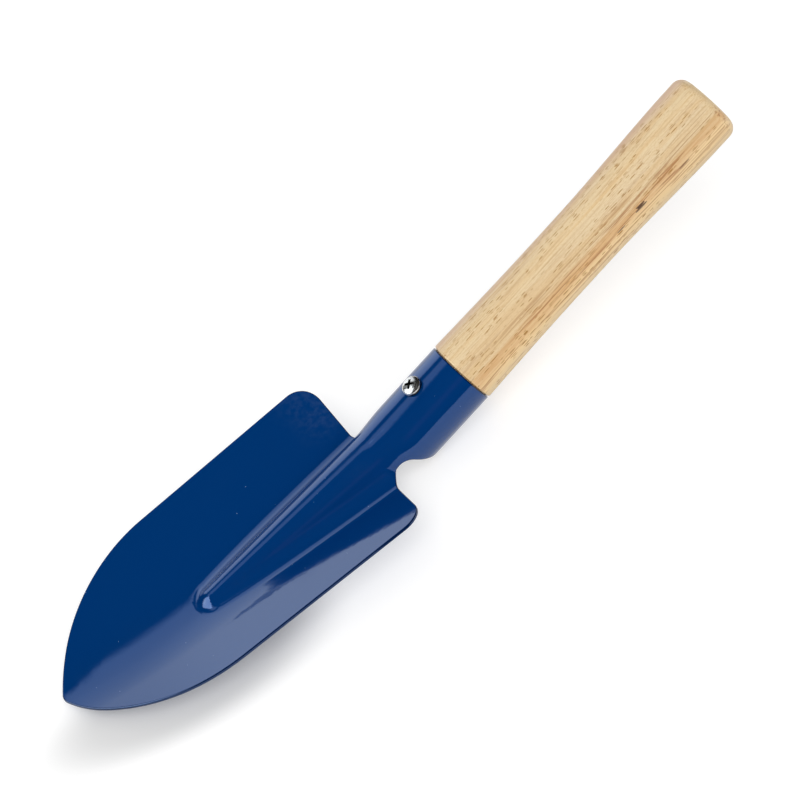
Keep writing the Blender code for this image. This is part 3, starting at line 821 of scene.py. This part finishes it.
def enamel():
    mat, shader, place = new_material("navy_enamel")
    edge = node(place.tree, "ShaderNodeAttribute", attribute_name="edge_mm").out("Fac")
    # Dust specks in the coat, painted pale as glints and raised a little in the bump.
    dust_glint = effect(SPECKS, Place=place, Spacing=2.8, Size=0.042, Share=0.17)
    # The rim darkens within EDGE_DARK_MM of the edge: partly its thin coat, partly painted shade.
    thin_edge_and_shade = span(edge, EDGE_DARK_MM, EDGE_DARK_MM / 2, step="LINEAR")
    # A faint pale haze is laid on the corner of the far shoulder.
    along, aside = axes(place)[:2]
    haze = span(along, *HAZE_ALONG_MM) * span(aside, *HAZE_ASIDE_MM)
    haze *= effect(CLOUDS, Place=place, Scale=0.55, Low=0.30, High=0.75) * HAZE_SHARE
    colour = layered(ENAMEL, (thin_edge_and_shade, ENAMEL_EDGE_AND_SHADE), (dust_glint, ENAMEL_PALE), (haze, ENAMEL_PALE))
    smudge = effect(CLOUDS, Place=place, Scale=0.055, Low=0.50, High=0.74)
    height = math("MULTIPLY_ADD", dust_glint, 2.0, effect(RIPPLE, Place=place, Scale=0.30))
    fill(shader, {"Base Color": colour, "Normal": bump(height, 0.02, 0.001),
                  "Roughness": span(smudge, 0.0, 1.0, *ENAMEL_ROUGHNESS, step="LINEAR"),
                  "IOR": 1.75, "Specular Tint": ENAMEL_GLOSS})
    return mat


navy_enamel = enamel()
print("enamel nodes", len(navy_enamel.node_tree.nodes))

# %% [markdown]
# ## Pale turned wood
#
# The handle is a pale, open-pored wood under a satin varnish. Wood is solid all through, so
# its figure is worked out in three dimensions and the turned surface cuts it: growth bands
# that lie almost along the axis, one warm streak of heartwood, fine fibre, and pores. A pore
# is a vessel a few millimetres long and a third of a millimetre wide, so it is a Voronoi
# cell stretched along the grain. It shows as a dash on the grip and as a dot on the end. Each
# of these is a mask, and the colour is laid on through the masks in turn.

# %% Wood
WOOD_PALE = (0.80, 0.57, 0.295, 1.0)
WOOD_LIGHT = (0.84, 0.65, 0.385, 1.0)
WOOD_TAN = (0.62, 0.38, 0.165, 1.0)
WOOD_WARM_LIT = (1.0, 0.73, 0.385, 1.0)
WOOD_ROSE = (0.66, 0.39, 0.25, 1.0)
WOOD_STREAK = (0.70, 0.37, 0.145, 1.0)
WOOD_LINE = (0.42, 0.15, 0.035, 1.0)
WOOD_PORE = (0.46, 0.21, 0.035, 1.0)
WOOD_FLECK = (0.09, 0.035, 0.012, 1.0)
WOOD_ROUGHNESS = (0.42, 0.55)
STREAK_SIDE = Vector((0.0, -0.69, -0.72))
STREAK_AT_MM = 5.8
STREAK_WIDTH_MM = 3.0
STREAK_WAVER_MM = 3.0
ROSE_FROM_MM = (9.5, 12.5)


def stretched(place, along, across):
    """Places scaled for a figure that is long in the grain."""
    return vector_math("MULTIPLY", place, (along, across, across))


def turned_wood():
    mat, shader, place = new_material("pale_turned_wood")
    bands = noise(stretched(place, 0.012, 0.34), detail=3.0)
    fibre = noise(stretched(place, 0.05, 2.2), detail=4.0)
    lines = noise(stretched(place, 0.022, 1.25), detail=3.0)
    mottle = noise(stretched(place, 1.1, 3.0))
    # The streak is a layer through the wood. It wavers along its length, and the wood beyond it, on
    # the side that faces down and to the front, is warmer and also painted lighter, painted light
    # where that side gets less light. On the far side the wood turns towards rose.
    waver = noise(stretched(place, 0.022, 0.10))
    off = vector_math("DOT_PRODUCT", place, STREAK_SIDE).out("Value") - STREAK_AT_MM
    off += (waver - 0.5) * STREAK_WAVER_MM
    far = vector_math("DOT_PRODUCT", place, -STREAK_SIDE).out("Value")
    from_streak = math("ABSOLUTE", off)
    streak = span(from_streak, STREAK_WIDTH_MM, 0.3)
    lined = span(from_streak, 2.6 * STREAK_WIDTH_MM, 0.5, 0.12, 0.80)
    # Pores come in crowds, and each crowd has two lengths of dash.
    crowd = effect(CLOUDS, Place=stretched(place, 0.045, 0.22), Low=0.38, High=0.56)
    long_pores = effect(SPECKS, Place=stretched(place, 0.19, 1.9), Size=0.31, Share=0.26)
    short_pores = effect(SPECKS, Place=stretched(place, 0.33, 2.5), Size=0.33, Share=0.24)
    pores = crowd * math("MAXIMUM", long_pores, short_pores)
    flecks = effect(SPECKS, Place=stretched(place, 0.10, 0.75), Size=0.30, Share=0.14)
    colour = layered(
        WOOD_LIGHT,
        (span(bands, 0.40, 0.62), WOOD_PALE),
        (span(fibre, 0.46, 0.72, 0.0, 0.60), WOOD_TAN),
        (span(mottle, 0.45, 0.70, 0.0, 0.32), WOOD_TAN),
        # Warm wood beyond the streak, painted lighter there as painted light.
        (span(off, -1.5, 3.0, 0.0, 0.75), WOOD_WARM_LIT),
        (span(far, *ROSE_FROM_MM, 0.0, 0.60), WOOD_ROSE),
        (streak * span(fibre, 0.30, 0.66, 0.20, 0.68), WOOD_STREAK),
        (lined * span(lines, 0.55, 0.62, 0.0, 0.90), WOOD_LINE),
        (pores * 0.95, WOOD_PORE),
        (flecks * streak, WOOD_FLECK))
    fill(shader, {"Base Color": colour, "Roughness": span(bands, 0.3, 0.7, *WOOD_ROUGHNESS),
                  "Normal": bump(fibre * 0.3 - pores, 0.25, 0.0001),
                  "Coat Weight": 0.25, "Coat Roughness": 0.22})
    return mat


pale_wood = turned_wood()
print("wood nodes", len(pale_wood.node_tree.nodes))

# %% [markdown]
# ## Nickel plate
#
# The screw is plated bright. Plating reflects like a mirror, so what sells it is a little unevenness,
# some smudges, and painted shade in the recess. The recess is wherever a place lies under the dome
# that the head would have without it, and that is worked out from the head's sizes.

# %% Nickel
NICKEL = (0.74, 0.72, 0.69, 1.0)
# The colour of the painted shade in the recess, and of the smudges.
NICKEL_SHADE_AND_GRIME = (0.030, 0.026, 0.022, 1.0)
HEAD_DIAMETER = 0.0070
HEAD_HEIGHT = 0.0024
HEAD_WALL = 0.0009
HEAD_AT = Vector((-SCREW_FROM_MOUTH, 0.0, SOCKET_DIAMETER / 2 + SCREW_CLEARANCE))


def under_dome(place):
    """How far a place is under the screw head's dome, in millimetres."""
    x, y, z = axes(vector_math("SUBTRACT", place, HEAD_AT * 1000))
    out = (math("POWER", x, 2.0) + math("POWER", y, 2.0)) / (HEAD_DIAMETER / 2 * 1000)**2
    dome = math("SQRT", math("MAXIMUM", 1.0 - out, 0.0))
    return math("MULTIPLY_ADD", dome, (HEAD_HEIGHT - HEAD_WALL) * 1000, HEAD_WALL * 1000) - z


def nickel():
    mat, shader, place = new_material("nickel_plate")
    smudge = effect(CLOUDS, Place=place, Scale=1.6, Low=0.50, High=0.80)
    # Painted shade, nearly black, fills the recess; smudges darken the plate a little.
    recess_shade_and_smudge = math("MAXIMUM", span(under_dome(place), 0.05, 0.35, 0.0, 0.94), smudge * 0.5)
    waves = effect(RIPPLE, Place=place, Scale=2.2)
    fill(shader, {"Base Color": layered(NICKEL, (recess_shade_and_smudge, NICKEL_SHADE_AND_GRIME)), "Metallic": 1.0,
                  "Roughness": 0.26, "Normal": bump(waves, 0.12, 0.0002)})
    return mat


nickel_plate = nickel()
print("nickel nodes", len(nickel_plate.node_tree.nodes))

# %% [markdown]
# ## The pieces, blade first
#
# Every finished piece sits at the origin with its place in its mesh, rides on the one rigid
# body, takes over its CAD node and names its material slot.

# %% Placing a piece
def add_piece(name, mesh, mat, cad_node):
    """Dress a mesh that is in its place and give it to the one body."""
    mesh.materials.clear()
    mesh.materials.append(mat)
    piece = new_object(name, mesh)
    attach(piece, "root")
    if cad_node:
        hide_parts(cad_node)
    triangles = sum(len(face.vertices) - 2 for face in mesh.polygons)
    print(name, triangles, "triangles, box mm", [round(v * 1000, 1) for v in piece.dimensions])


def put_down(mesh, matrix, sharp):
    """Move a mesh to its place and shade it smooth, but for edges past the sharp angle."""
    mesh.transform(matrix)
    mesh.shade_smooth()
    mesh.set_sharp_from_angle(angle=sharp)


add_piece("painted_blade", blade_mesh, navy_enamel, "blade")

# %% [markdown]
# ## The handle
#
# The grip tapers from the socket to a waist and swells to a rounded butt, and the tenon
# carries on inside the socket. Its outline is the only thing to draw. The lathe does the
# rest.

# %% Handle outline
GRIP_PROUD = 0.0001
GRIP_WAIST_DIAMETER = 0.0232
GRIP_BUTT_DIAMETER = 0.0258
GRIP_TAPER_LENGTH = 0.0450
GRIP_TAPER_CURVE = 1.6
GRIP_SWELL_LENGTH = 0.0540
BUTT_STRAIGHT = 0.0070
BUTT_RADIUS = 0.0040
SHOULDER_EASE = 0.0006
TENON_LENGTH = 0.0260
TENON_CHAMFER = 0.0012
TENON_CLEARANCE = 0.0004
SHOULDER_CLEARANCE = 0.0003
TENON_RADIUS = SOCKET_DIAMETER / 2 - SHEET - TENON_CLEARANCE
GRIP_RINGS = 150
BUTT_RINGS = 14
FLAT_RINGS = 4
EASE_RINGS = 5
GRIP_SIDES = 160
GRIP_SHARP = radians(40)


def grip_radius(x):
    """Half thickness of the grip at x from the shoulder."""
    taper = max(1 - x / GRIP_TAPER_LENGTH, 0.0)
    swell = ease((x - GRIP_LENGTH + BUTT_STRAIGHT + GRIP_SWELL_LENGTH) / GRIP_SWELL_LENGTH)
    waist = GRIP_WAIST_DIAMETER / 2
    at_shoulder = (SOCKET_DIAMETER / 2 + GRIP_PROUD - waist) * taper**GRIP_TAPER_CURVE
    return waist + at_shoulder + (GRIP_BUTT_DIAMETER / 2 - waist) * swell


def quarter(rings):
    """Even steps through a quarter turn, without its start."""
    return [pi / 2 * i / rings for i in range(1, rings + 1)]


def handle_outline():
    """The handle's outline as (x, radius), butt first."""
    butt_flat = grip_radius(GRIP_LENGTH) - BUTT_RADIUS
    straight = GRIP_LENGTH - BUTT_RADIUS
    points = [(GRIP_LENGTH, butt_flat * i / FLAT_RINGS) for i in range(FLAT_RINGS + 1)]
    for t in quarter(BUTT_RINGS):
        points.append((straight + BUTT_RADIUS * cos(t), butt_flat + BUTT_RADIUS * sin(t)))
    first = SHOULDER_CLEARANCE + SHOULDER_EASE
    for i in range(1, GRIP_RINGS + 1):
        x = lerp(straight, first, i / GRIP_RINGS)
        points.append((x, grip_radius(x)))
    ease_centre = grip_radius(first) - SHOULDER_EASE
    for t in quarter(EASE_RINGS):
        points.append((first - SHOULDER_EASE * sin(t), ease_centre + SHOULDER_EASE * cos(t)))
    points += [(SHOULDER_CLEARANCE, TENON_RADIUS), (TENON_CHAMFER - TENON_LENGTH, TENON_RADIUS)]
    return points + [(-TENON_LENGTH, TENON_RADIUS - TENON_CHAMFER), (-TENON_LENGTH, 0.0)]


handle_mesh = on_lathe("turned_handle", handle_outline(), GRIP_SIDES)
put_down(handle_mesh, LAID_DOWN, GRIP_SHARP)
add_piece("turned_handle", handle_mesh, pale_wood, "handle")

# %% [markdown]
# ## The screw
#
# A pan-head wood screw with a cross recess goes through the socket into the tenon. Its body
# is one more outline for the lathe. The recess is cut by a Boolean with two tapered bars,
# because its arms are flat-sided and no turning could leave them.

# %% Screw
SCREW_LENGTH = 0.0160
SCREW_POINT = 0.0032
RECESS_SPAN = 0.0042
RECESS_FOOT = 0.0017
RECESS_WIDTH = 0.0010
RECESS_DEPTH = 0.0014
DOME_RINGS = 16
SCREW_SIDES = 96
SCREW_SHARP = radians(35)
UPRIGHT = LAID_DOWN @ Matrix.Translation(HEAD_AT) @ Matrix.Rotation(-pi / 2, 4, "Y")


def screw_outline():
    """The screw's outline as (height, radius), top of the head first."""
    rim, shank = HEAD_DIAMETER / 2, SHANK_DIAMETER / 2
    points = [(HEAD_HEIGHT, 0.0)]
    for t in quarter(DOME_RINGS):
        points.append((HEAD_WALL + (HEAD_HEIGHT - HEAD_WALL) * cos(t), rim * sin(t)))
    points += [(0.0, rim), (0.0, shank), (SCREW_POINT - SCREW_LENGTH, shank)]
    return points + [(-SCREW_LENGTH, 0.0)]


def recess_arm(turn):
    """One arm of the cross recess, a bar whose ends slope in towards the bottom."""
    slope = (RECESS_SPAN - RECESS_FOOT) / 2
    verts = []
    for height, reach in ((RECESS_DEPTH, RECESS_SPAN / 2 + slope), (-RECESS_DEPTH, RECESS_FOOT / 2)):
        for along, side in ((reach, 1), (-reach, 1), (-reach, -1), (reach, -1)):
            verts.append((HEAD_HEIGHT + height, side * RECESS_WIDTH / 2, along))
    sides = [(i + 4, (i + 1) % 4 + 4, (i + 1) % 4, i) for i in range(4)]
    mesh = bpy.data.meshes.new("recess_arm")
    mesh.from_pydata(verts, [], [(0, 1, 2, 3), (7, 6, 5, 4), *sides])
    mesh.transform(Matrix.Rotation(turn, 4, "X"))
    return clean(mesh)


def cut_away(mesh, cutters):
    """Subtract each cutter mesh by a Boolean and return the plain result."""
    maker = new_object("cut_maker", mesh)
    tools = [new_object("cutter", cutter) for cutter in cutters]
    for tool in tools:
        maker.modifiers.new("cut", "BOOLEAN").object = tool
    made = clean(plain_mesh(maker))
    for tool in tools:
        bpy.data.objects.remove(tool, do_unlink=True)
    return made


screw_mesh = on_lathe("screw_body", screw_outline(), SCREW_SIDES)
screw_mesh = cut_away(screw_mesh, [recess_arm(pi / 4), recess_arm(-pi / 4)])
put_down(screw_mesh, UPRIGHT, SCREW_SHARP)
add_piece("pan_screw", screw_mesh, nickel_plate, "screw")

# %% [markdown]
# ## The thread
#
# A thread follows a rule, so a node tree makes it: a helix with a pointed section swept along
# it. It is hidden in the tenon, and it stands up less than the clearance around the shank.

# %% Thread
THREAD_START = -0.0042
THREAD_PITCH = 0.0014
THREAD_TURNS = 6.0
THREAD_HEIGHT = 0.00022
THREAD_SIDES = 3
STEPS_A_TURN = 48


def thread(given):
    """A helix round X, from a height down, with a three-sided section."""
    tree = given["Turns"].tree
    length = given["Turns"] * given["Pitch"]
    helix = node(tree, "GeometryNodeCurveSpiral",
                 {"Resolution": STEPS_A_TURN, "Rotations": given["Turns"], "Height": length,
                  "Start Radius": given["Radius"], "End Radius": given["Radius"]})
    profile = node(tree, "GeometryNodeCurvePrimitiveCircle",
                   {"Resolution": THREAD_SIDES, "Radius": given["Height"]}, mode="RADIUS")
    swept = node(tree, "GeometryNodeCurveToMesh",
                 {"Curve": helix, "Profile Curve": profile, "Fill Caps": True})
    drop = node(tree, "ShaderNodeCombineXYZ", {"X": given["Top"] - length})
    stood = node(tree, "GeometryNodeTransform",
                 {"Geometry": swept, "Translation": drop, "Rotation": (0.0, pi / 2, 0.0)})
    return dressed(stood, given["Material"])


THREAD = grow("Geometry", "thread", thread, {
    "Geometry": "Geometry", "Turns": 1.0, "Pitch": 0.001, "Radius": 0.001, "Height": 0.0001,
    "Top": 0.0, "Material": "Material"})
thread_mesh = run_tree("screw_thread", bpy.data.meshes.new("thread_start"), THREAD,
                       Turns=THREAD_TURNS, Pitch=THREAD_PITCH, Radius=SHANK_DIAMETER / 2,
                       Height=THREAD_HEIGHT, Top=THREAD_START)
thread_mesh.transform(UPRIGHT)
add_piece("screw_thread", thread_mesh, nickel_plate, None)

# %% [markdown]
# ## Camera
#
# The camera was found from the ellipse of the socket's mouth: it looks down across the
# trowel from the -Y side, a metre away, through a long lens. It is turned about its own axis
# so that the handle runs up to the right.

# %% Camera
VIEW_ELEVATION = radians(46.0)
VIEW_SWING = radians(4.6)
HANDLE_ANGLE = radians(47.6)
VIEW_DISTANCE = 1.0
LENS_MM = 135.0
SENSOR_MM = 36.0
CLIP_START = 0.01
PICTURE = 800
MOUTH_PIXEL = (461.3, 372.2)


def make_camera():
    """Places the camera so that the socket's mouth falls on its pixel."""
    turn = LAID_DOWN.to_3x3()
    back = turn @ Vector((sin(VIEW_SWING), -cos(VIEW_SWING) * cos(VIEW_ELEVATION),
                          cos(VIEW_SWING) * sin(VIEW_ELEVATION)))
    along = turn @ Vector((1.0, 0.0, 0.0))
    along = (along - back * along.dot(back)).normalized()
    aside = back.cross(along)
    right = along * cos(HANDLE_ANGLE) - aside * sin(HANDLE_ANGLE)
    up = along * sin(HANDLE_ANGLE) + aside * cos(HANDLE_ANGLE)
    pixel = VIEW_DISTANCE * SENSOR_MM / LENS_MM / PICTURE
    offset_x = (MOUTH_PIXEL[0] - PICTURE / 2) * pixel
    offset_y = (PICTURE / 2 - MOUTH_PIXEL[1]) * pixel
    camera = new_object("camera", bpy.data.cameras.new("camera"))
    camera.data.lens = LENS_MM
    camera.data.sensor_width = SENSOR_MM
    camera.data.clip_start = CLIP_START
    place = mouth + back * VIEW_DISTANCE - right * offset_x - up * offset_y
    camera.matrix_world = Matrix.Translation(place) @ Matrix((right, up, back)).transposed().to_4x4()
    return camera


bpy.context.scene.camera = make_camera()
print("camera at", [round(v, 3) for v in bpy.context.scene.camera.location])

# %% [markdown]
# ## Studio light
#
# Gloss shows the room, so the room has to be built. The trowel lies on a white table. Behind
# it stands a tall softbox with a narrower one above it and its lamp's warm spot in it. A long
# one hangs overhead, and a bright one stands past the blade's tip and lights the nose of the
# ridge. The ceiling is dark, and that is what leaves the enamel so deep. A faint glow from
# the room lies on the neck. One node group draws a box of light with soft edges on the sky,
# in degrees of azimuth and elevation, and the world adds the boxes up. Rays from matt
# surfaces get a front light and an even fill, so that a colour renders about as it is
# written, and the camera sees plain white.

# %% Softboxes
BOX_SIZES = ("Toward", "Half Width", "Side Edge", "Low", "Low Edge", "High", "High Edge", "Strength")


def box_of_light(given):
    """A box of light on the sky with soft edges, all its sizes in degrees."""
    off = math("ABSOLUTE", math("WRAP", given["Azimuth"] - given["Toward"], 180.0, -180.0))

    def past(value, edge, softness):
        """From 0 to 1 as the value passes the edge."""
        return span(value, given[edge] - given[softness], given[edge] + given[softness])

    above = past(given["Elevation"], "Low", "Low Edge")
    above -= past(given["Elevation"], "High", "High Edge")
    return (1.0 - past(off, "Half Width", "Side Edge")) * above * given["Strength"]


box_inputs = dict.fromkeys(("Azimuth", "Elevation", *BOX_SIZES), 1.0)
SOFTBOX = grow("Shader", "softbox", box_of_light, box_inputs)
# Each softbox has its sizes in the order of BOX_SIZES.
SOFTBOXES = {
    "back": (93.0, 20.5, 2.0, -6.0, 1.0, 38.0, 2.0, 1.15),
    "back_top": (86.5, 14.0, 2.0, 38.0, 2.0, 57.0, 5.0, 1.10),
    "lamp": (101.0, 9.0, 9.0, -6.0, 1.0, 38.0, 12.0, 0.50),
    "overhead": (142.0, 31.0, 6.0, 52.0, 3.0, 68.0, 2.0, 0.85),
}
END_BOX = (171.0, 30.0, 5.0, 12.0, 5.0, 61.0, 2.0, 4.0)
GLOW = (255.0, 6.0, 4.0, 26.0, 12.0, 38.0, 6.0, 0.13)
FRONT = (262.0, 50.0, 12.0, 25.0, 8.0, 75.0, 8.0, 2.0)
print("softboxes", sorted(SOFTBOXES))

# %% World
WHITE = (1.0, 1.0, 1.0, 1.0)
GLOW_COLOUR = (1.0, 0.15, 0.35, 1.0)
BOX_COLOUR = (0.93, 1.0, 1.08, 1.0)
FILL = 0.45
BOX_LIGHT = 0.5


def studio_world():
    """White to the camera, the softboxes to gloss, the softboxes and a fill to matt surfaces."""
    world = bpy.data.worlds.new("studio")
    world.use_nodes = True
    tree = world.node_tree
    x, y, z = axes(node(tree, "ShaderNodeTexCoord").out("Generated"))
    aim = {"Azimuth": math("DEGREES", math("ARCTAN2", y, x)),
           "Elevation": math("DEGREES", math("ARCSINE", z))}

    def softbox(sizes):
        return node(tree, "ShaderNodeGroup", aim | dict(zip(BOX_SIZES, sizes)), node_tree=SOFTBOX)

    def choose(mask, first, second):
        return node(tree, "ShaderNodeMix", {0: mask, 2: first, 3: second}, data_type="FLOAT")

    light = 0.0
    for sizes in SOFTBOXES.values():
        light = softbox(sizes) + light
    ray = node(tree, "ShaderNodeLightPath")
    glossy = ray.out("Is Glossy Ray")
    matt = math("MULTIPLY_ADD", light, BOX_LIGHT, softbox(FRONT) + FILL)
    seen = choose(glossy, matt, light + softbox(END_BOX))
    seen = choose(ray.out("Is Camera Ray"), seen, 1.0)
    background = tree.nodes["Background"]
    fill(background.inputs, {"Color": layered(WHITE, (glossy, BOX_COLOUR)), "Strength": seen})
    glow = node(tree, "ShaderNodeBackground",
                {"Color": GLOW_COLOUR, "Strength": softbox(GLOW) * glossy})
    both = node(tree, "ShaderNodeAddShader", {0: Value(background.outputs[0]), 1: glow})
    plug(tree.nodes["World Output"].inputs["Surface"], both)
    return world


bpy.context.scene.world = studio_world()
bpy.context.scene.view_settings.view_transform = "Standard"
print("world nodes", len(bpy.context.scene.world.node_tree.nodes))

# %% [markdown]
# ## The table
#
# The table is a sheet of matt paper. The camera and the gloss see it lifted, so that it comes out
# pure white where nothing shades it. Round the low end of the blade the lift is smaller, in an oval
# on the paper: a painted shadow, grey even where nothing shades the paper, in which the trowel's own
# soft shadow stays.

# %% Table
TABLE_LOW = (-0.60, -0.21)
TABLE_HIGH = (0.60, 0.80)
TABLE_DROP = 0.0002
TABLE_WHITE = (0.62, 0.62, 0.62, 1.0)
TABLE_LIFT = (0.17, 0.52)
SHADOW_AT = (-0.109, -0.0225, 0.0)
SHADOW_HALF = (0.051, 0.021, 1.0)
SHADOW_TURN = radians(-9.8)
SHADOW_EDGE = (0.62, 1.25)


def table_paper():
    """Paper with a painted shadow in an oval, its places measured in half widths of that oval."""
    mat, shader, place = new_material("table_white", SHADOW_AT, (0.0, 0.0, SHADOW_TURN), SHADOW_HALF)
    # Less lift inside the oval: a painted shadow on the paper.
    lift = span(vector_math("LENGTH", place).out("Value"), *SHADOW_EDGE, *TABLE_LIFT)
    ray = node(place.tree, "ShaderNodeLightPath")
    seen = math("MAXIMUM", ray.out("Is Camera Ray"), ray.out("Is Glossy Ray"))
    fill(shader, {"Base Color": TABLE_WHITE, "Roughness": 0.9, "Specular IOR Level": 0.0,
                  "Emission Color": WHITE, "Emission Strength": seen * lift})
    return mat


def make_table():
    mesh = bpy.data.meshes.new("table")
    (x0, y0), (x1, y1) = TABLE_LOW, TABLE_HIGH
    corners = [(x, y, -TABLE_DROP) for x, y in ((x0, y0), (x1, y0), (x1, y1), (x0, y1))]
    mesh.from_pydata(corners, [], [(0, 1, 2, 3)])
    mesh.materials.append(table_paper())
    new_object("table", mesh)


make_table()
print("table from", TABLE_LOW, "to", TABLE_HIGH, "m")
